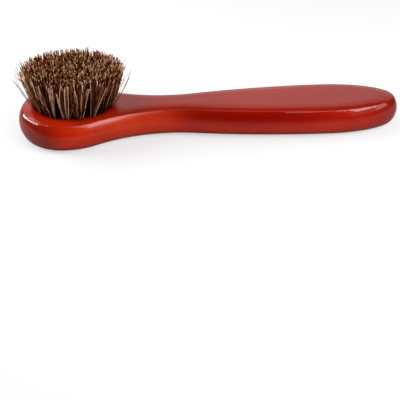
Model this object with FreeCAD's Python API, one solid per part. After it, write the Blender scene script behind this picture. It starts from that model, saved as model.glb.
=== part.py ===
"""Shoe shine brush: a flat paddle-shaped board of wood whose broad head is filled with tufts of horsehair.

Each tuft is a bundle of hair folded in half round a short flat wire, the anchor. The two go together into
a drilled blind hole, and the anchor's ends bite into the hole's wall, which holds the tuft. The holes lie in
rings and lean outwards, so the hair spreads, and the hair is trimmed level.

Millimetres. The brush lies on its back with the hair up: the origin is on the back face under the middle of
the hair, +X runs along the handle to its tip and +Z is up.
"""

import FreeCAD, Part
import math
import os

# Board outline, seen from above. The head is widest at a place between its end and the middle of the hair
HEAD_WIDTH = 50.0
WIDEST_PLACE = 4.3
SHOULDER_RADIUS = 27.6
NECK_WIDTH = 20.8
NECK_RADIUS = 59.0
GRIP_WIDTH = 34.0
NECK_TO_GRIP = 71.6
TIP_LENGTH = 33.9

# Board section: the sides bulge, and towards them the flat faces fall away to a softened edge
BOARD_THICKNESS = 13.7
SIDE_RADIUS = 9.3
FACE_DROP = 1.1
FACE_FALL = 5.4
EDGE_RADIUS = 0.8
LEAST_FLAT = 0.5

# Holes for the tufts: one in the middle and rings of 6, 12, 18 and so on round it
TUFT_RINGS = 3
BARE_RIM = 7.0
HOLE_DIAMETER = 2.8
DRILL_POINT_ANGLE = 118.0
WOOD_UNDER_HOLES = 4.5
LEAN_PER_RING = 3.7

# Hair
TRIM_HEIGHT = 16.9
TUFT_CLEARANCE = 0.05
GAP_BETWEEN_TUFTS = 0.6

# Anchor, a strip cut from flat wire
ANCHOR_THICKNESS = 0.35
ANCHOR_HEIGHT = 1.8
ANCHOR_BITE = 0.2
FOLD_UNDER_ANCHOR = 1.2

# Worked out from the sizes above
head_half = HEAD_WIDTH / 2
neck_half = NECK_WIDTH / 2
grip_half = GRIP_WIDTH / 2
hole_radius = HOLE_DIAMETER / 2
tuft_radius = hole_radius - TUFT_CLEARANCE
side_angle = math.acos((BOARD_THICKNESS / 2 - FACE_DROP) / SIDE_RADIUS)
edge_inset = SIDE_RADIUS * (1 - math.sin(side_angle))
tightest_bend = min(neck_half, grip_half ** 2 / TIP_LENGTH)
face_fall = min(FACE_FALL, tightest_bend - edge_inset - LEAST_FLAT)
fall_radius = (face_fall ** 2 + FACE_DROP ** 2) / (2 * FACE_DROP)
fall_angle = math.asin(face_fall / fall_radius)
point_half_angle = math.radians(DRILL_POINT_ANGLE / 2)
point_depth = hole_radius / math.tan(point_half_angle)
hole_depth = BOARD_THICKNESS - WOOD_UNDER_HOLES - point_depth
anchor_length = HOLE_DIAMETER + 2 * ANCHOR_BITE
lean_tangent = math.tan(math.radians(LEAN_PER_RING))
tuft_pitch = (head_half - BARE_RIM - hole_radius) / TUFT_RINGS
tuft_top_radius = (tuft_pitch + TRIM_HEIGHT * lean_tangent - GAP_BETWEEN_TUFTS) / 2
trim_level = BOARD_THICKNESS + TRIM_HEIGHT


def point(x, y, z=0.0):
    return FreeCAD.Vector(x, y, z)


def arc(centre, radius, first_angle, last_angle):
    """An edge on a circle in the XY plane, anticlockwise from the first angle to the last, in radians."""
    circle = Part.Circle(centre, point(0, 0, 1), radius)
    return Part.ArcOfCircle(circle, first_angle, last_angle).toShape()


def arc_through(curve, first_angle, last_angle):
    """An edge through three points of a curve, which gives a point for each angle."""
    middle_angle = (first_angle + last_angle) / 2
    return Part.Arc(curve(first_angle), curve(middle_angle), curve(last_angle)).toShape()


def board_outline():
    """The closed outline: an elliptic end, arcs for shoulders, hollow neck and sides, and an elliptic tip."""
    shoulder_centre = point(-WIDEST_PLACE, head_half - SHOULDER_RADIUS)
    neck_y = neck_half + NECK_RADIUS
    across = neck_y - shoulder_centre.y
    neck_x = shoulder_centre.x + math.sqrt((SHOULDER_RADIUS + NECK_RADIUS) ** 2 - across ** 2)
    neck_centre = point(neck_x, neck_y)
    swell = grip_half - neck_half
    grip_arc_radius = (NECK_TO_GRIP ** 2 + swell ** 2) / (2 * swell) - NECK_RADIUS
    grip_x = neck_x + NECK_TO_GRIP
    grip_centre = point(grip_x, grip_half - grip_arc_radius)

    towards_neck = neck_centre - shoulder_centre
    shoulder_angle = math.atan2(towards_neck.y, towards_neck.x)
    towards_grip = grip_centre - neck_centre
    grip_angle = math.atan2(towards_grip.y, towards_grip.x)
    end_curve = Part.Ellipse(point(-WIDEST_PLACE, head_half), point(-head_half, 0), point(-WIDEST_PLACE, 0))
    end = Part.ArcOfEllipse(end_curve, 0, math.pi / 2).toShape()
    shoulder = arc(shoulder_centre, SHOULDER_RADIUS, shoulder_angle, math.pi / 2)
    neck = arc(neck_centre, NECK_RADIUS, shoulder_angle - math.pi, grip_angle)
    grip = arc(grip_centre, grip_arc_radius, math.pi / 2, grip_angle + math.pi)
    tip_curve = Part.Ellipse(point(grip_x, 0), TIP_LENGTH, grip_half)
    tip = Part.ArcOfEllipse(tip_curve, 0, math.pi / 2).toShape()

    half = [end, shoulder, neck, grip, tip]
    other_half = [edge.mirror(point(0, 0), point(0, 1)) for edge in half]
    return Part.Wire(Part.sortEdges(half + other_half)[0])


def edge_section():
    """The board's edge in section at the end of the head: the falling face, the bulging side, the falling back.

    Angles are those between the surface and the flat faces.
    """
    def on_face(angle):
        inwards = edge_inset + face_fall - fall_radius * math.sin(angle)
        return point(inwards - head_half, 0, BOARD_THICKNESS - fall_radius * (1 - math.cos(angle)))

    def on_side(angle):
        inwards = SIDE_RADIUS * (1 - math.sin(angle))
        return point(inwards - head_half, 0, BOARD_THICKNESS / 2 + SIDE_RADIUS * math.cos(angle))

    face = arc_through(on_face, 0, fall_angle)
    side = arc_through(on_side, side_angle, math.pi - side_angle)
    back = face.mirror(point(0, 0, BOARD_THICKNESS / 2), point(0, 0, 1))
    return Part.Wire(Part.sortEdges([face, side, back])[0])


def edges_at(shape, height):
    """The shape's edges that lie level at a height."""
    return [edge for edge in shape.Edges
            if max(abs(edge.BoundBox.ZMin - height), abs(edge.BoundBox.ZMax - height)) < EDGE_RADIUS / 10]


def shaped_board():
    """The solid board: its edge section swept round the outline, with flat faces and softened edges."""
    sweep = Part.BRepOffsetAPI.MakePipeShell(board_outline())
    sweep.setBiNormalMode(point(0, 0, 1))
    sweep.add(edge_section(), False, False)
    sweep.build()
    faces = sweep.shape().Faces
    for height in (0, BOARD_THICKNESS):
        rim = Part.sortEdges(edges_at(sweep.shape(), height))[0]
        faces.append(Part.Face(Part.Wire(rim)))
    skin = Part.makeShell(faces)
    skin.sewShape()
    board = Part.makeSolid(Part.Shell(skin.Faces))
    rims = edges_at(board, FACE_DROP) + edges_at(board, BOARD_THICKNESS - FACE_DROP)
    return board.makeFillet(EDGE_RADIUS, rims)


def turned(profile):
    """The solid that a closed profile of edges in the XZ plane makes when it turns about Z."""
    face = Part.Face(Part.Wire(Part.sortEdges(profile)[0]))
    return face.revolve(point(0, 0), point(0, 0, 1), 360)


def segments(points):
    return [Part.makeLine(a, b) for a, b in zip(points, points[1:])]


# The next four functions work in a hole's own frame: the middle of its mouth is the origin, +Z points out
# along the hole and +X away from the middle of the hair.

def fold_centre():
    """Height of the middle of the tuft's round fold, which rests in the hole's pointed end."""
    point_tip = -hole_depth - point_depth
    return point_tip + (tuft_radius + TUFT_CLEARANCE) / math.sin(point_half_angle)


def anchor():
    """The flat wire strip that the hair is folded round, longer than the hole is wide."""
    lower_edge = fold_centre() - tuft_radius + FOLD_UNDER_ANCHOR
    corner = point(-ANCHOR_THICKNESS / 2, -anchor_length / 2, lower_edge)
    return Part.makeBox(ANCHOR_THICKNESS, anchor_length, ANCHOR_HEIGHT, corner)


def drilled_hole(lean):
    """What the drill and the anchor's ends take out of the board."""
    mouth = hole_radius * math.tan(lean) + TUFT_CLEARANCE
    outline = [
        point(0, 0, -hole_depth - point_depth),
        point(hole_radius, 0, -hole_depth),
        point(hole_radius, 0, mouth),
        point(0, 0, mouth),
        point(0, 0, -hole_depth - point_depth),
    ]
    return turned(segments(outline)).fuse(anchor())


def untrimmed_tuft(lean):
    """The folded bundle of hair: a round fold, a straight root in the hole and a spreading brush above it."""
    middle = fold_centre()
    bend = tuft_radius / math.sqrt(2)
    fold_bottom = point(0, 0, middle - tuft_radius)
    fold_side = point(tuft_radius, 0, middle)
    fold = Part.Arc(fold_bottom, point(bend, 0, middle - bend), fold_side).toShape()

    spread_from = hole_radius * math.tan(lean)
    trim_distance = TRIM_HEIGHT / math.cos(lean)
    spread = (tuft_top_radius - tuft_radius) / (trim_distance - spread_from)
    full_length = trim_distance + 2 * tuft_top_radius * math.tan(lean) + tuft_radius
    full_radius = tuft_radius + spread * (full_length - spread_from)
    outline = [
        fold_side,
        point(tuft_radius, 0, spread_from),
        point(full_radius, 0, full_length),
        point(0, 0, full_length),
        fold_bottom,
    ]
    return turned([fold] + segments(outline)).cut(anchor())


def hole_places():
    """(ring, number in the ring, lean, placement) of each hole, from the middle outwards."""
    places = []
    for ring in range(TUFT_RINGS + 1):
        lean = math.atan(ring * lean_tangent)
        holes_in_ring = 6 * ring or 1
        for number in range(holes_in_ring):
            turn = 360 * number / holes_in_ring
            about_z = FreeCAD.Rotation(point(0, 0, 1), turn)
            about_y = FreeCAD.Rotation(point(0, 1, 0), math.degrees(lean))
            mouth = about_z.multVec(point(ring * tuft_pitch, 0)) + point(0, 0, BOARD_THICKNESS)
            places.append((ring, number + 1, lean, FreeCAD.Placement(mouth, about_z * about_y)))
    return places


def placed(shape, placement):
    return shape.transformed(placement.toMatrix())


def trimmed(tuft):
    """The tuft with the hair above the trim level cut off."""
    reach = 2 * HEAD_WIDTH
    below = Part.makeBox(2 * reach, 2 * reach, trim_level, point(-reach, -reach))
    return tuft.common(below)


def ring_name(ring):
    return f"ring{ring}" if ring else "centre"


def brush_parts():
    """Each node's name and shape."""
    parts = {}
    holes = []
    anchors = {}
    for ring, number, lean, placement in hole_places():
        holes.append(placed(drilled_hole(lean), placement))
        anchors.setdefault(f"anchors_{ring_name(ring)}", []).append(placed(anchor(), placement))
        name = f"tuft_ring{ring}_{number:02d}" if ring else "tuft_centre"
        parts[name] = trimmed(placed(untrimmed_tuft(lean), placement))
    for name, strips in anchors.items():
        parts[name] = Part.makeCompound(strips)
    parts["handle"] = shaped_board().cut(Part.makeCompound(holes))
    return parts


def solids_of(shape, name):
    """The shape's solids as one shape, after a test that each is sound."""
    for solid in shape.Solids:
        if not solid.isValid() or solid.Volume <= 0:
            raise ValueError(f"{name} has an unsound solid")
    return shape.Solids[0] if len(shape.Solids) == 1 else Part.makeCompound(shape.Solids)


os.makedirs("parts", exist_ok=True)
for node, shape in brush_parts().items():
    solids_of(shape, node).exportStep(f"parts/{node}.step")
print(f"tufts {tuft_pitch:.2f} mm apart in holes {hole_depth:.2f} mm deep")
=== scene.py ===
import math

import bpy
import numpy as np
from mathutils import Matrix, Vector


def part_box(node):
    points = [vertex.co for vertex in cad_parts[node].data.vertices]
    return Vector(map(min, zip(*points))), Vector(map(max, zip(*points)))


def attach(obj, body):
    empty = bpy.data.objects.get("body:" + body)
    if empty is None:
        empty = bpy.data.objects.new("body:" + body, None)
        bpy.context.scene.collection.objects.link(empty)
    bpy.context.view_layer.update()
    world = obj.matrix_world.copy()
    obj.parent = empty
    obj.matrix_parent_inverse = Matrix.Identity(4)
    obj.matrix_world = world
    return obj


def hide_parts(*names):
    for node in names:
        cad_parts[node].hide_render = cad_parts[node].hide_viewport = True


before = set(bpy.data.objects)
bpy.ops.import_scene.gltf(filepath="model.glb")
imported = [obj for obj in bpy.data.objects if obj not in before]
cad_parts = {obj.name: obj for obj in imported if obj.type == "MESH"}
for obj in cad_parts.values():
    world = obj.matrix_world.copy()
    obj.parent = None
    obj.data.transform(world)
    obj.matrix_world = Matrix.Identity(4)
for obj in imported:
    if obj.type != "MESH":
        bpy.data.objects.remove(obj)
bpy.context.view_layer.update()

# The brush lies on its back on the floor, hair up. Lengths are in metres, and mm turns millimetres into them.
# The origin is under the middle of the hair, and the head reaches from there to the start of the handle.
mm = 0.001
BODY = "root"
BOARD_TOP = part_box("handle")[1].z
TRIM_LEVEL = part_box("tuft_centre")[1].z
HANDLE_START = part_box("handle")[0].x
HANDLE_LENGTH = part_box("handle")[1].x - HANDLE_START
HEAD_REACH = -HANDLE_START

# Camera, fitted to the outline of the brush in the photograph
PICTURE_SIDE = 400
FOCAL_PIXELS = 1278.6
SENSOR_WIDTH = 36.0
VIEW_AZIMUTH = -4.76
VIEW_ELEVATION = 24.27
VIEW_DISTANCE = 590.3 * mm
AIM_POINT = Vector((62.0, 0.0, 6.85)) * mm
AIM_PIXEL = (209.2, 112.4)

# Hair: the trimmed pad is one even field of clumps, and each clump grows from the nearest tuft
PAD_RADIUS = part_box("tuft_ring3_01")[1].x
CLUMP_PITCH = 1.15 * mm
PAD_JITTER = 0.2 * mm
LONG_HAIRS_PER_CLUMP = 6
SHORT_HAIRS_PER_CLUMP = 4
HAIR_RADIUS = 0.11 * mm
HAIR_TIP_SHARE = 0.8
HAIR_SIDES = 4
HAIR_RINGS = 8
SEED = 24

# Roots: a tuft's hairs fill its hole, and a clump's place in the hole is like its place in the tuft's cell
ROOT_DEPTH = 1.5 * mm
ROOT_RADIUS = 1.25 * mm
ROOT_LOOSENESS = 0.08 * mm
CELL_RADIUS = 3.7 * mm

# Tips: sparse tips look lower than a solid pad, so they end above its level, but some at the rim fall short
PAD_LIFT = 0.95 * mm
CLUMP_SCATTER = 0.3 * mm
HAIR_SCATTER = 0.1 * mm
RIM_DROP = 2.5 * mm
TIP_LOOSENESS = 0.11 * mm

# Bends: the hairs of a tuft fan out early, and clumps and hairs bend by chance
EARLY_SPREAD = 0.15
CLUMP_BEND = 1.1 * mm
HAIR_BEND = 0.13 * mm

# Strands: in the pad's outer layer clumps part into strands, with tips, bends and mostly tones of their own
HAIRS_PER_STRAND = 3
STRAND_LOOSENESS = 0.3 * mm
STRAND_BEND = 0.75 * mm
OWN_TONE_SHARE = 0.85

# Short hairs end as shares of the way to a tip. Inside the pad they bend far, and fill the gaps between tufts
SHORT_LENGTH = (0.6, 0.93)
SHORT_BEND_INSIDE = 2.0 * mm
SHORT_PULL_IN = 0.07
SHORT_LOOSENESS = 0.45 * mm

# Stray hairs stand out from the side of the pad
STRAY_SHARE = 0.13
STRAY_REACH = 4.5 * mm
STRAY_SIDEWAYS = 0.35
STRAY_DROP = 3.0 * mm

# Tones from 0, dark, to 1, pale: pairs shape the beta distributions that they are drawn from
DARK_TONES = (1.5, 7.0)
PALE_TONES = (4.2, 2.2)
SHORT_TONES = (1.5, 5.0)
TONE_SCATTER = 0.15
DARK_SHARE_INSIDE = 0.3
DARK_SHARE_OUTSIDE = 0.55
PALER_OUTSIDE = 0.14
STRAND_DARK_TONES = (1.2, 12.0)
STRAND_DARK_SHARE = 0.69
STRAND_PALER = 0.26

# How thick the pad's outer layer is, and how far light gets down into the pad and down that layer
OUTER_LAYER = 1.2 * mm
LIGHT_DEPTH_INSIDE = 0.55 * mm
LIGHT_DEPTH_OUTSIDE = 40 * mm

# A tuft's mesh: what counts as its trimmed end, and how far below the board's top its straight root is
TRIM_MARGIN = 0.01 * mm
ROOT_ZONE = 2 * mm

# Surfaces: how strong and how deep the lacquer's relief is, and how much pores and mottles show
BUMP_STRENGTH = 0.3
LACQUER_RELIEF = 0.012 * mm
PORE_STAIN = 0.3
PORE_RELIEF = 0.4
NOISE_MIDDLE = 0.5
MOTTLE = 0.5

# Each hair's strip of the texture map: its height in widths, and its gaps and the height of a cap, as shares
STRIP_HEIGHT = 25
STRIP_GAP = 0.1
ROW_GAP = 0.03
CAP_SHARE = 0.01

# Studio: how bright each part of it looks, where 1 is white
BACK_WALL = 0.95
OVERHEAD = 0.1
FRONT = 0.03
FILL = 0.205

# Lamps stand this far from what they face, unless a call gives its own distance. They face the middle of the
# brush, or its neck, where a highlight starts
LAMP_DISTANCE = 0.5
NECK_POINT = Vector((30.0, -10.0, 12.0)) * mm

# Floor: the camera sees it glow, most of all far away, and the lacquer mirrors it darker away from the brush
FLOOR_SIDE = 6.0
FLOOR_PAINT = 0.88
GLOW_NEAR = (0.3, 0.55)
GLOW_FAR = (0.8, 1.0)
MIRROR_RANGE = 100 * mm
MIRRORED_NEAR = (0.15, 0.6)
MIRRORED_FAR = (0.7, 0.15)


class Shader:
    """Adds nodes to one node tree. Calling it makes a node from its kind, its inputs and its settings."""

    def __init__(self, tree):
        tree.nodes.clear()
        self.tree = tree

    def put(self, socket, value):
        if isinstance(value, bpy.types.NodeSocket):
            self.tree.links.new(value, socket)
        else:
            socket.default_value = value

    def __call__(self, kind, inputs=None, **settings):
        node = self.tree.nodes.new("ShaderNode" + kind)
        for name, value in settings.items():
            setattr(node, name, value)
        for name, value in (inputs or {}).items():
            self.put(node.inputs[name], value)
        return node

    def ramp(self, factor, *stops):
        """A colour ramp of (position, colour) stops. A colour may be one number for a grey."""
        node = self("ValToRGB", {"Fac": factor})
        elements = node.color_ramp.elements
        while len(elements) < len(stops):
            elements.new(0.5)
        for element, (position, colour) in zip(elements, stops):
            element.position = position
            element.color = (*colour, 1) if isinstance(colour, tuple) else grey(colour)
        return node.outputs["Color"]

    def mix(self, factor, first, second, blend="MIX"):
        node = self("MixRGB", {"Fac": factor, "Color1": first, "Color2": second}, blend_type=blend)
        return node.outputs["Color"]

    def maths(self, operation, first, second=0.0):
        node = self("Math", operation=operation)
        self.put(node.inputs[0], first)
        self.put(node.inputs[1], second)
        return node.outputs["Value"]

    def parts(self, vector):
        node = self("SeparateXYZ", {"Vector": vector})
        return [node.outputs[axis] for axis in "XYZ"]

    def length(self, vector):
        node = self("VectorMath", operation="LENGTH")
        self.put(node.inputs[0], vector)
        return node.outputs["Value"]

    def share(self, part):
        """A direction's part along one axis, from -1 to 1, as a share from 0 to 1."""
        return self.maths("MULTIPLY", self.maths("ADD", part, 1.0), 0.5)

    def noise(self, place, lengths, detail=3.0, roughness=0.5):
        """Noise whose features are about as long as lengths, in metres, along X, Y and Z."""
        mapping = self("Mapping", {"Vector": place, "Scale": [1 / length for length in lengths]})
        inputs = {"Vector": mapping.outputs["Vector"], "Scale": 1.0, "Detail": detail, "Roughness": roughness}
        return self("TexNoise", inputs).outputs["Fac"]

    def bump(self, height, depth, **inputs):
        node = self("Bump", {"Height": height, "Strength": BUMP_STRENGTH, "Distance": depth, **inputs})
        return node.outputs["Normal"]

    def finish(self, shader):
        is_world = isinstance(self.tree.id_data, bpy.types.World)
        output = self("OutputWorld" if is_world else "OutputMaterial")
        self.tree.links.new(shader.outputs[0], output.inputs["Surface"])


def grey(level):
    return (level, level, level, 1)


def new_material(name):
    material = bpy.data.materials.new(name)
    material.use_nodes = True
    return material, Shader(material.node_tree)


def stain_and_painted_light_colour(shade, lengthwise, slope):
    """The colour changes along the handle, and from its faces to the upper and the lower half of its side.
    Part of it is the wood's staining and part is painted light and shade: the side is painted lighter around
    the head, neck and tip, where the lamps on the right fall, and along the grip its lower half is painted
    lighter than its upper half.
    """
    upper_side = shade.ramp(
        lengthwise,
        (0.1, (0.53, 0.0205, 0.0017)),
        (0.27, (0.54, 0.031, 0.0040)),
        (0.34, (0.48, 0.026, 0.0028)),
        (0.48, (0.30, 0.0042, 0.0005)),
        (0.64, (0.265, 0.0030, 0.0004)),
        (0.85, (0.345, 0.0085, 0.0024)),
        (1.0, (0.24, 0.0080, 0.0018)),
    )
    lower_side = shade.ramp(
        lengthwise,
        (0.1, (0.41, 0.0160, 0.0014)),
        (0.3, (0.46, 0.0225, 0.0028)),
        (0.45, (0.49, 0.0160, 0.0010)),
        (0.8, (0.38, 0.0155, 0.0012)),
        (1.0, (0.24, 0.0080, 0.0018)),
    )
    faces = shade.ramp(
        lengthwise,
        (0.1, (0.53, 0.0185, 0.0024)),
        (0.3, (0.28, 0.0095, 0.0014)),
        (0.42, (0.31, 0.0100, 0.0014)),
        (0.85, (0.27, 0.0080, 0.0012)),
        (1.0, (0.22, 0.0068, 0.0010)),
    )
    side = shade.mix(shade.ramp(slope, (0.40, 1.0), (0.58, 0.0)), upper_side, lower_side)
    return shade.mix(shade.ramp(slope, (0.75, 0.0), (0.88, 1.0)), side, faces)


def stain_and_painted_shade_factors(shade, place, fibres, slope):
    """What makes the colour lighter or darker: grain and clouds in the staining, end grain with painted
    shade, and painted shade under the edge and between the tufts.
    """
    clouds = shade.noise(place, (45 * mm, 14 * mm, 14 * mm), detail=2.0)
    towards_tip, _, _ = shade.parts(shade("NewGeometry").outputs["Normal"])
    x, y, _ = shade.parts(place)
    from_hair_centre = shade.length(shade("CombineXYZ", {"X": x, "Y": y}).outputs["Vector"])
    streaks = shade.ramp(fibres, (0.25, (0.88, 0.78, 0.8)), (0.8, (1.12, 1.25, 1.2)))
    cloudy = shade.ramp(clouds, (0.3, (0.92, 0.85, 0.85)), (0.7, (1.06, 1.12, 1.1)))
    # Partly the deeper staining of end grain, partly painted shade: darker where the surface faces along the
    # handle, most at the head's end
    end_grain_and_painted_shade = shade.ramp(
        shade.share(towards_tip),
        (0.1, (0.34, 0.30, 0.34)),
        (0.27, (0.48, 0.43, 0.45)),
        (0.5, 1.0),
        (0.65, 1.0),
        (0.98, (0.48, 0.45, 0.45)),
    )
    # Painted shade: darker where the surface faces down, under the edge by the floor
    painted_shade_under_edge = shade.ramp(slope, (0.10, 0.2), (0.22, 0.65), (0.32, 1.0))
    # Painted shade: the board darkens close to the tufts, where the hair keeps light from it
    painted_shade_between_tufts = shade.ramp(
        shade.maths("DIVIDE", from_hair_centre, HEAD_REACH),
        (0.66, (0.06, 0.05, 0.05)),
        (0.71, (0.55, 0.5, 0.5)),
        (0.8, 1.0),
    )
    return streaks, cloudy, end_grain_and_painted_shade, painted_shade_under_edge, painted_shade_between_tufts


def wood_material():
    """Red-stained hardwood with its grain along the handle, under lacquer that is dullest at the neck. Its
    colour also holds painted light and shade.
    """
    material, shade = new_material("lacquered_wood")
    place = shade("TexCoord").outputs["Object"]
    x, _, _ = shade.parts(place)
    _, _, upwards = shade.parts(shade("NewGeometry").outputs["Normal"])
    lengthwise = shade.maths("DIVIDE", shade.maths("SUBTRACT", x, HANDLE_START), HANDLE_LENGTH)
    slope = shade.share(upwards)
    fibres = shade.noise(place, (30 * mm, 1.1 * mm, 1.6 * mm), detail=4.0, roughness=0.6)
    pores = shade.noise(place, (3.5 * mm, 0.16 * mm, 0.16 * mm), detail=1.0)
    ripple = shade.noise(place, (1.4 * mm, 1.4 * mm, 1.4 * mm), detail=2.0)

    # Base colour: the staining with painted light and shade, multiplied by grain, clouds, end grain and
    # painted shade, then darker in pores
    stain_with_painted_light = stain_and_painted_light_colour(shade, lengthwise, slope)
    for shades in stain_and_painted_shade_factors(shade, place, fibres, slope):
        stain_with_painted_light = shade.mix(1.0, stain_with_painted_light, shades, "MULTIPLY")
    in_pore = shade.ramp(pores, (0.64, 0.0), (0.72, 1.0))
    stain_with_painted_light = shade.mix(shade.maths("MULTIPLY", in_pore, PORE_STAIN), stain_with_painted_light, (0.18, 0.004, 0.001, 1))

    relief = shade.maths("SUBTRACT", fibres, shade.maths("MULTIPLY", in_pore, PORE_RELIEF))
    grain_bump = shade.bump(relief, LACQUER_RELIEF)
    wood = shade("BsdfPrincipled", {
        "Base Color": stain_with_painted_light,
        "Roughness": 0.5,
        "Specular IOR Level": 0.0,
        "Normal": grain_bump,
        "Coat Weight": 0.6,
        "Coat Roughness": shade.ramp(lengthwise, (0.1, 0.05), (0.2, 0.2), (0.38, 0.2), (0.55, 0.05)),
        "Coat IOR": 1.5,
        "Coat Normal": shade.bump(ripple, LACQUER_RELIEF, Normal=grain_bump),
    })
    shade.finish(wood)
    return material


def hair_material():
    """Brown horsehair: each hair has its own mottled tone, and is darker where other hair takes its light."""
    material, shade = new_material("horsehair")
    place = shade("TexCoord").outputs["Object"]
    mottle = shade.noise(place, (0.5 * mm, 0.5 * mm, 2.5 * mm), detail=2.0)
    hair_tone = shade("Attribute", attribute_name="tone").outputs["Fac"]
    mottled = shade.maths("MULTIPLY", shade.maths("SUBTRACT", mottle, NOISE_MIDDLE), MOTTLE)
    colour = shade.ramp(
        shade.maths("ADD", hair_tone, mottled),
        (0.0, (0.03, 0.005, 0.001)),
        (0.35, (0.28, 0.072, 0.016)),
        (0.7, (0.72, 0.32, 0.145)),
        (1.0, (0.98, 0.70, 0.48)),
    )
    light = shade.ramp(
        shade("Attribute", attribute_name="light").outputs["Fac"],
        (0.0, (0.02, 0.004, 0.002)),
        (0.35, (0.32, 0.25, 0.22)),
        (1.0, 1.0),
    )
    hair = shade("BsdfPrincipled", {
        "Base Color": shade.mix(1.0, colour, light, "MULTIPLY"),
        "Roughness": 0.45,
        "Specular IOR Level": 0.0,
    })
    shade.finish(hair)
    return material


def wire_material():
    """Drawn flat wire with fine lines along it."""
    material, shade = new_material("anchor_wire")
    place = shade("TexCoord").outputs["Object"]
    lines = shade.noise(place, (4 * mm, 4 * mm, 0.1 * mm), detail=2.0)
    colour = shade.ramp(lines, (0.3, (0.42, 0.41, 0.39)), (0.7, (0.62, 0.61, 0.58)))
    roughness = shade.ramp(lines, (0.3, 0.28), (0.7, 0.42))
    wire = shade("BsdfPrincipled", {"Base Color": colour, "Metallic": 1.0, "Roughness": roughness})
    shade.finish(wire)
    return material


def tuft_line(node):
    """The middle of a tuft's mouth in the board, its direction there, and the middle of its trimmed end."""
    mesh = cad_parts[node].data
    points = np.empty(3 * len(mesh.vertices))
    mesh.vertices.foreach_get("co", points)
    points = points.reshape(-1, 3)

    def middle(chosen):
        return (chosen.min(0) + chosen.max(0)) / 2

    top = middle(points[points[:, 2] > TRIM_LEVEL - TRIM_MARGIN])
    root = middle(points[points[:, 2] < BOARD_TOP - ROOT_ZONE])
    direction = (top - root) / np.linalg.norm(top - root)
    mouth = root + direction * (BOARD_TOP - root[2]) / direction[2]
    return mouth, direction, top


def pad_of_clumps(tops, rng):
    """Where the clumps end in the pad, in a sunflower pattern that is denser on the rim, and their tufts."""
    count = round(math.pi * (PAD_RADIUS / CLUMP_PITCH) ** 2)
    golden_angle = math.pi * (3 - math.sqrt(5))
    number = np.arange(count)
    on_rim = 2 * math.sqrt(count)
    reach = PAD_RADIUS * np.sqrt(np.minimum(1, (number + 0.5) / (count - on_rim / 2)))
    ends = np.column_stack([reach * np.cos(number * golden_angle), reach * np.sin(number * golden_angle)])
    ends += rng.normal(0, PAD_JITTER, ends.shape)
    nearest = np.linalg.norm(ends[:, None] - tops[None, :, :2], axis=2).argmin(1)
    return ends, nearest


def outside_share(tips):
    """How far hairs with these tips lie in the pad's outer layer: 1 in it, 0 one thickness further in."""
    reach = np.linalg.norm(tips[:, :2], axis=1)
    return np.clip((reach - PAD_RADIUS) / OUTER_LAYER + 2, 0, 1)


def clump_looks(ends, rng):
    """Each clump's tone, and how far above the pad's level it ends."""
    clumps = len(ends)
    outside = outside_share(ends)
    dark_tones = rng.beta(*DARK_TONES, clumps)
    pale_tones = rng.beta(*PALE_TONES, clumps) + PALER_OUTSIDE * outside
    dark_share = DARK_SHARE_INSIDE + (DARK_SHARE_OUTSIDE - DARK_SHARE_INSIDE) * outside
    tones = np.where(rng.random(clumps) < dark_share, dark_tones, pale_tones)
    heights = PAD_LIFT + rng.normal(0, CLUMP_SCATTER, clumps)
    heights -= RIM_DROP * outside * rng.random(clumps) ** 3
    return tones, heights


def shortened(roots, tips, rng):
    """Tips of short hairs, which stop on the way to places a little further in."""
    aims = tips * (1 - SHORT_PULL_IN, 1 - SHORT_PULL_IN, 1)
    aims[:, :2] += rng.normal(0, SHORT_LOOSENESS, (len(tips), 2))
    return roots + rng.uniform(*SHORT_LENGTH, (len(tips), 1)) * (aims - roots)


def strayed(tips, rng):
    """Tips of loose hairs, which stand out from the pad and end lower."""
    hairs = len(tips)
    outwards = tips[:, :2] / np.linalg.norm(tips[:, :2], axis=1, keepdims=True)
    reach = outwards * rng.random((hairs, 1)) ** 2 + rng.normal(0, STRAY_SIDEWAYS, (hairs, 2))
    return tips + np.column_stack([STRAY_REACH * reach, -STRAY_DROP * rng.random(hairs)])


def hair_steps():
    """Where along a hair its rings lie, from 0 at the root to 1 at the tip, where they are closest."""
    return 1 - np.linspace(1, 0, HAIR_RINGS) ** 2


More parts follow.
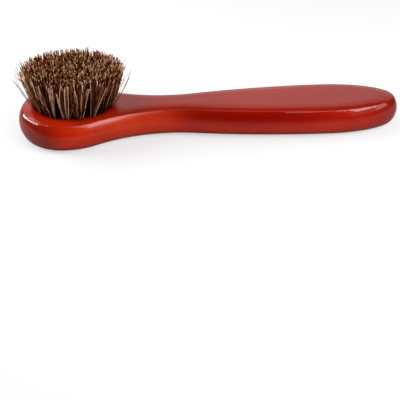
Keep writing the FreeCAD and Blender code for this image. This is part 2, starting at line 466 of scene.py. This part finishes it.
class Tuft:
    """The hairs of one tuft, in clumps and strands: where they run and which tones they have."""

    def __init__(self, line, clump_ends, rng):
        hairs_per_clump = LONG_HAIRS_PER_CLUMP + SHORT_HAIRS_PER_CLUMP
        self.mouth, self.direction, self.top = line
        self.clump_ends = clump_ends
        self.rng = rng
        self.clumps = len(clump_ends)
        self.hairs = self.clumps * hairs_per_clump
        number = np.arange(self.hairs)
        self.clump = number // hairs_per_clump
        self.is_short = number % hairs_per_clump >= LONG_HAIRS_PER_CLUMP
        self.strand = number // HAIRS_PER_STRAND
        self.strands = self.strand[-1] + 1
        self.outside = outside_share(clump_ends)[self.clump]

    def roots(self):
        """Where the hairs start in the tuft's hole."""
        spots = (self.clump_ends - self.top[:2])[self.clump] / CELL_RADIUS
        spots /= np.maximum(1, np.linalg.norm(spots, axis=1, keepdims=True))
        roots = np.tile(self.mouth - ROOT_DEPTH * self.direction, (self.hairs, 1))
        roots[:, :2] += ROOT_RADIUS * spots + self.rng.normal(0, ROOT_LOOSENESS, (self.hairs, 2))
        return roots

    def tips(self, roots, clump_heights):
        """Where the hairs end, before any of them strays."""
        tips = np.empty((self.hairs, 3))
        tips[:, :2] = self.clump_ends[self.clump] + self.rng.normal(0, TIP_LOOSENESS, (self.hairs, 2))
        tips[:, 2] = self.top[2] + clump_heights[self.clump] + self.rng.normal(0, HAIR_SCATTER, self.hairs)
        parting = self.rng.normal(0, STRAND_LOOSENESS, (self.strands, 2))
        tips[:, :2] += self.outside[:, None] * parting[self.strand]
        tips[self.is_short] = shortened(roots[self.is_short], tips[self.is_short], self.rng)
        return tips

    def tones(self, clump_tones):
        """Each hair's tone: its clump's, its strand's own or, if it is short, mostly a dark one."""
        is_dark = self.rng.random(self.strands) < STRAND_DARK_SHARE
        dark_tones = self.rng.beta(*STRAND_DARK_TONES, self.strands)
        pale_tones = self.rng.beta(*PALE_TONES, self.strands) + STRAND_PALER
        strand_tones = np.where(is_dark, dark_tones, pale_tones)
        has_own = self.rng.random(self.strands)[self.strand] < OWN_TONE_SHARE * self.outside
        tones = clump_tones[self.clump] + self.rng.normal(0, TONE_SCATTER, self.hairs)
        tones = np.where(has_own, strand_tones[self.strand], tones)
        tones[self.is_short] = self.rng.beta(*SHORT_TONES, self.is_short.sum())
        return np.clip(tones, 0, 1)

    def bends(self, roots, tips):
        """Each hair's middle control point, which its curve bends towards."""
        straight = (roots + tips) / 2
        upright = roots + self.direction * np.linalg.norm(tips - roots, axis=1, keepdims=True) / 2
        bends = straight + EARLY_SPREAD * (straight - upright)
        bends += self.rng.normal(0, CLUMP_BEND, (self.clumps, 3))[self.clump]
        strand_bends = self.rng.normal(0, STRAND_BEND, (self.strands, 3))
        bends += self.outside[:, None] * strand_bends[self.strand]
        short_bend = SHORT_BEND_INSIDE + (HAIR_BEND - SHORT_BEND_INSIDE) * self.outside
        hair_bend = np.where(self.is_short, short_bend, HAIR_BEND)
        return bends + hair_bend[:, None] * self.rng.normal(0, 1, (self.hairs, 3))

    def paths_and_tones(self):
        """Points along each hair, on a curve from its root to its tip, and its tone."""
        clump_tones, clump_heights = clump_looks(self.clump_ends, self.rng)
        roots = self.roots()
        tips = self.tips(roots, clump_heights)
        tones = self.tones(clump_tones)
        is_stray = ~self.is_short & (self.rng.random(self.hairs) < STRAY_SHARE * outside_share(tips))
        tips[is_stray] = strayed(tips[is_stray], self.rng)
        bends = self.bends(roots, tips)
        steps = hair_steps()[:, None]
        weights = ((1 - steps) ** 2, 2 * steps * (1 - steps), steps ** 2)
        paths = sum(weight * points[:, None] for weight, points in zip(weights, (roots, bends, tips)))
        return paths, tones


def light_on(paths):
    """How much light reaches each point of the hairs, from 0 to 1."""
    depth = np.maximum(0, TRIM_LEVEL + PAD_LIFT - paths[:, :, 2])
    outside = outside_share(paths[:, -1])[:, None]
    inner_light = np.exp(-depth / LIGHT_DEPTH_INSIDE)
    outer_light = np.exp(-depth / LIGHT_DEPTH_OUTSIDE)
    return outside * outer_light + (1 - outside) * inner_light


def strip_map(tones, along):
    """Each hair's own strip of the texture map, in rows sorted by tone: the corners of its walls and caps."""
    hairs, rings = len(tones), len(along)
    rows = max(1, round(math.sqrt(hairs / STRIP_HEIGHT)))
    columns = math.ceil(hairs / rows)
    rank = np.empty(hairs, int)
    rank[np.argsort(tones)] = np.arange(hairs)
    column, row = rank % columns, rank // columns
    left = (column + STRIP_GAP) / columns
    right = (column + 1 - STRIP_GAP) / columns
    height = (row[:, None] + ROW_GAP + (1 - 2 * ROW_GAP) * along) / rows
    cap = CAP_SHARE / rows

    def corners(low, high):
        lower = [np.stack([side, low], -1) for side in (left, right)]
        upper = [np.stack([side, high], -1) for side in (right, left)]
        return np.stack(lower + upper, 1)

    walls = np.stack([corners(height[:, step], height[:, step + 1]) for step in range(rings - 1)], 1)
    walls = np.repeat(walls[:, :, None], HAIR_SIDES, 2)
    caps = [corners(height[:, 0], height[:, 0] + cap), corners(height[:, -1] - cap, height[:, -1])]
    return np.concatenate([part.reshape(-1, 2) for part in (walls, *caps)])


def tube_mesh(name, paths, tones):
    """A mesh of one closed tapering tube along each path, with each point's tone and light."""
    hairs, rings, _ = paths.shape
    ways = np.gradient(paths, axis=1)
    ways /= np.linalg.norm(ways, axis=2, keepdims=True)
    along_no_hair = (0.3, 0.9, 0.1)
    across = np.cross(ways, along_no_hair)
    across /= np.linalg.norm(across, axis=2, keepdims=True)
    beside = np.cross(ways, across)
    along = hair_steps()
    radius = HAIR_RADIUS * (1 - (1 - HAIR_TIP_SHARE) * along)

    turns = 2 * math.pi * np.arange(HAIR_SIDES) / HAIR_SIDES
    ring = np.cos(turns)[:, None] * across[:, :, None] + np.sin(turns)[:, None] * beside[:, :, None]
    points = paths[:, :, None] + radius[:, None, None] * ring
    first = np.arange(hairs * rings * HAIR_SIDES).reshape(hairs, rings, HAIR_SIDES)
    second = np.roll(first, -1, axis=2)
    walls = np.stack([first[:, :-1], second[:, :-1], second[:, 1:], first[:, 1:]], axis=-1)
    faces = np.concatenate([walls.reshape(-1, 4), first[:, 0, ::-1], first[:, -1]])

    mesh = bpy.data.meshes.new(name)
    mesh.from_pydata(points.reshape(-1, 3), [], faces.tolist())
    mesh.shade_smooth()
    point_tones = np.repeat(tones, rings * HAIR_SIDES)
    point_light = np.repeat(light_on(paths).ravel(), HAIR_SIDES)
    for attribute, values in (("tone", point_tones), ("light", point_light)):
        mesh.attributes.new(attribute, "FLOAT", "POINT").data.foreach_set("value", values.astype(np.float32))
    uv_map = mesh.uv_layers.new(name="OFBake")
    uv_map.uv.foreach_set("vector", strip_map(tones, along).astype(np.float32).ravel())
    return mesh


def new_object(name, mesh, material):
    piece = bpy.data.objects.new(name, mesh)
    bpy.context.scene.collection.objects.link(piece)
    mesh.materials.append(material)
    return piece


def dress_tufts(material):
    """Each tuft's plain solid gives way to its separate hairs."""
    rng = np.random.default_rng(SEED)
    nodes = sorted(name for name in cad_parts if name.startswith("tuft_"))
    lines = [tuft_line(node) for node in nodes]
    ends, nearest = pad_of_clumps(np.array([top for _, _, top in lines]), rng)
    for number, node in enumerate(nodes):
        paths, tones = Tuft(lines[number], ends[nearest == number], rng).paths_and_tones()
        hair = new_object("hair_" + node, tube_mesh("hair_" + node, paths, tones), material)
        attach(hair, BODY)
        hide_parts(node)


def dress_node(node, material):
    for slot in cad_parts[node].material_slots:
        slot.material = material


def floor():
    """A wide pale floor, part of whose white is its own, so that the shadow on it stays pale."""
    material, shade = new_material("floor")
    place = shade("TexCoord").outputs["Object"]
    path = shade("LightPath")
    _, y, _ = shade.parts(place)
    aside = shade.maths("DIVIDE", shade.maths("ABSOLUTE", y), MIRROR_RANGE)
    mirrored = shade.ramp(aside, MIRRORED_NEAR, MIRRORED_FAR)
    paint_colour = shade.mix(path.outputs["Is Glossy Ray"], grey(FLOOR_PAINT), mirrored)
    paint = shade("BsdfDiffuse", {"Color": paint_colour})
    glow = shade("Emission", {"Color": grey(1.0), "Strength": 1.0})
    glow_share = shade.ramp(shade.length(place), GLOW_NEAR, GLOW_FAR)
    to_camera = shade.maths("MULTIPLY", path.outputs["Is Camera Ray"], glow_share)
    mixed = shade("MixShader", {"Fac": to_camera})
    shade.put(mixed.inputs[1], paint.outputs[0])
    shade.put(mixed.inputs[2], glow.outputs[0])
    shade.finish(mixed)

    half = FLOOR_SIDE / 2
    corners = [(-half, -half, 0), (half, -half, 0), (half, half, 0), (-half, half, 0)]
    mesh = bpy.data.meshes.new("floor")
    mesh.from_pydata(corners, [], [(0, 1, 2, 3)])
    new_object("floor", mesh, material)


def studio_world():
    """White to the camera. It lights the brush as a studio that is pale behind it and dark in front of it."""
    world = bpy.data.worlds.new("studio")
    world.use_nodes = True
    bpy.context.scene.world = world
    shade = Shader(world.node_tree)
    path = shade("LightPath")
    _, backwards, _ = shade.parts(shade("TexCoord").outputs["Generated"])
    front_to_back = shade.share(backwards)
    studio = shade.ramp(front_to_back, (0.0, FRONT), (0.5, OVERHEAD), (0.78, OVERHEAD), (0.83, BACK_WALL))
    filled = shade.mix(path.outputs["Is Diffuse Ray"], studio, grey(FILL), "ADD")
    colour = shade.mix(path.outputs["Is Camera Ray"], filled, grey(1.0))
    shade.finish(shade("Background", {"Color": colour, "Strength": 1.0}))


def towards(azimuth, elevation):
    """A direction from the brush, in degrees: azimuth from its front side, positive to the right."""
    azimuth, elevation = math.radians(azimuth), math.radians(elevation)
    level = math.cos(elevation)
    return Vector((level * math.sin(azimuth), -level * math.cos(azimuth), math.sin(elevation)))


def softbox(name, start, end, width, brightness, distance=LAMP_DISTANCE, aim=AIM_POINT, beam=180):
    """A lamp that faces its aim. Its middle line joins two directions, and its width and beam are angles."""
    start = aim + distance * towards(*start)
    end = aim + distance * towards(*end)
    half_beam = math.radians(beam / 2)
    lamp = bpy.data.lights.new(name, "AREA")
    lamp.shape = "RECTANGLE"
    lamp.size = (end - start).length
    lamp.size_y = 2 * distance * math.tan(math.radians(width / 2))
    lamp.spread = 2 * half_beam
    lamp.energy = brightness * math.pi * lamp.size * lamp.size_y * (1 - half_beam / math.tan(half_beam))
    lamp_object = bpy.data.objects.new(name, lamp)
    bpy.context.scene.collection.objects.link(lamp_object)
    middle = (start + end) / 2
    long_side = (end - start).normalized()
    away = (middle - aim).normalized()
    away = (away - away.dot(long_side) * long_side).normalized()
    turn = Matrix((long_side, away.cross(long_side), away)).transposed()
    lamp_object.matrix_world = Matrix.Translation(middle) @ turn.to_4x4()


def camera():
    """The photograph's camera: it looks past the aim point so that this lands on its pixel."""
    back = towards(VIEW_AZIMUTH, VIEW_ELEVATION)
    lens = bpy.data.cameras.new("camera")
    lens.sensor_width = SENSOR_WIDTH
    lens.lens = FOCAL_PIXELS / PICTURE_SIDE * SENSOR_WIDTH
    middle = PICTURE_SIDE / 2
    pan = math.atan2(AIM_PIXEL[0] - middle, FOCAL_PIXELS)
    tilt = math.atan2(middle - AIM_PIXEL[1], FOCAL_PIXELS)
    turn = Matrix.Rotation(pan, 4, "Y") @ Matrix.Rotation(-tilt, 4, "X")
    camera_object = bpy.data.objects.new("camera", lens)
    bpy.context.scene.collection.objects.link(camera_object)
    facing = (-back).to_track_quat("-Z", "Y").to_matrix().to_4x4()
    camera_object.matrix_world = Matrix.Translation(AIM_POINT + VIEW_DISTANCE * back) @ facing @ turn
    bpy.context.scene.camera = camera_object


dress_node("handle", wood_material())
wire = wire_material()
for anchors in [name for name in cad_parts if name.startswith("anchors_")]:
    dress_node(anchors, wire)
dress_tufts(hair_material())

floor()
studio_world()

# Lamps: start and end are azimuth and elevation, and width and beam are angles, all in degrees
softbox("right_high", start=(62, 27), end=(62, 41), width=36, brightness=9.5, distance=0.42)
softbox("right_low", start=(74, 14), end=(74, 34), width=20, brightness=3.0, distance=0.43)
softbox("right_halo", start=(58, 12), end=(58, 44), width=44, brightness=0.8, distance=0.44)
softbox("right_wing", start=(8, 42), end=(40, 40), width=8, brightness=3.5, distance=0.45)
softbox("neck_beam", start=(28, 41), end=(50, 37), width=10, brightness=5.0, distance=0.42, aim=NECK_POINT,
        beam=36)
softbox("left_strip", start=(-132, 3), end=(-87, 25), width=8, brightness=20.0)
softbox("left_panel", start=(-150, 42), end=(-90, 42), width=25, brightness=2.8)
softbox("overhead_panel", start=(-20, 64), end=(30, 64), width=34, brightness=1.0)

camera()
bpy.context.scene.view_settings.view_transform = "Standard"
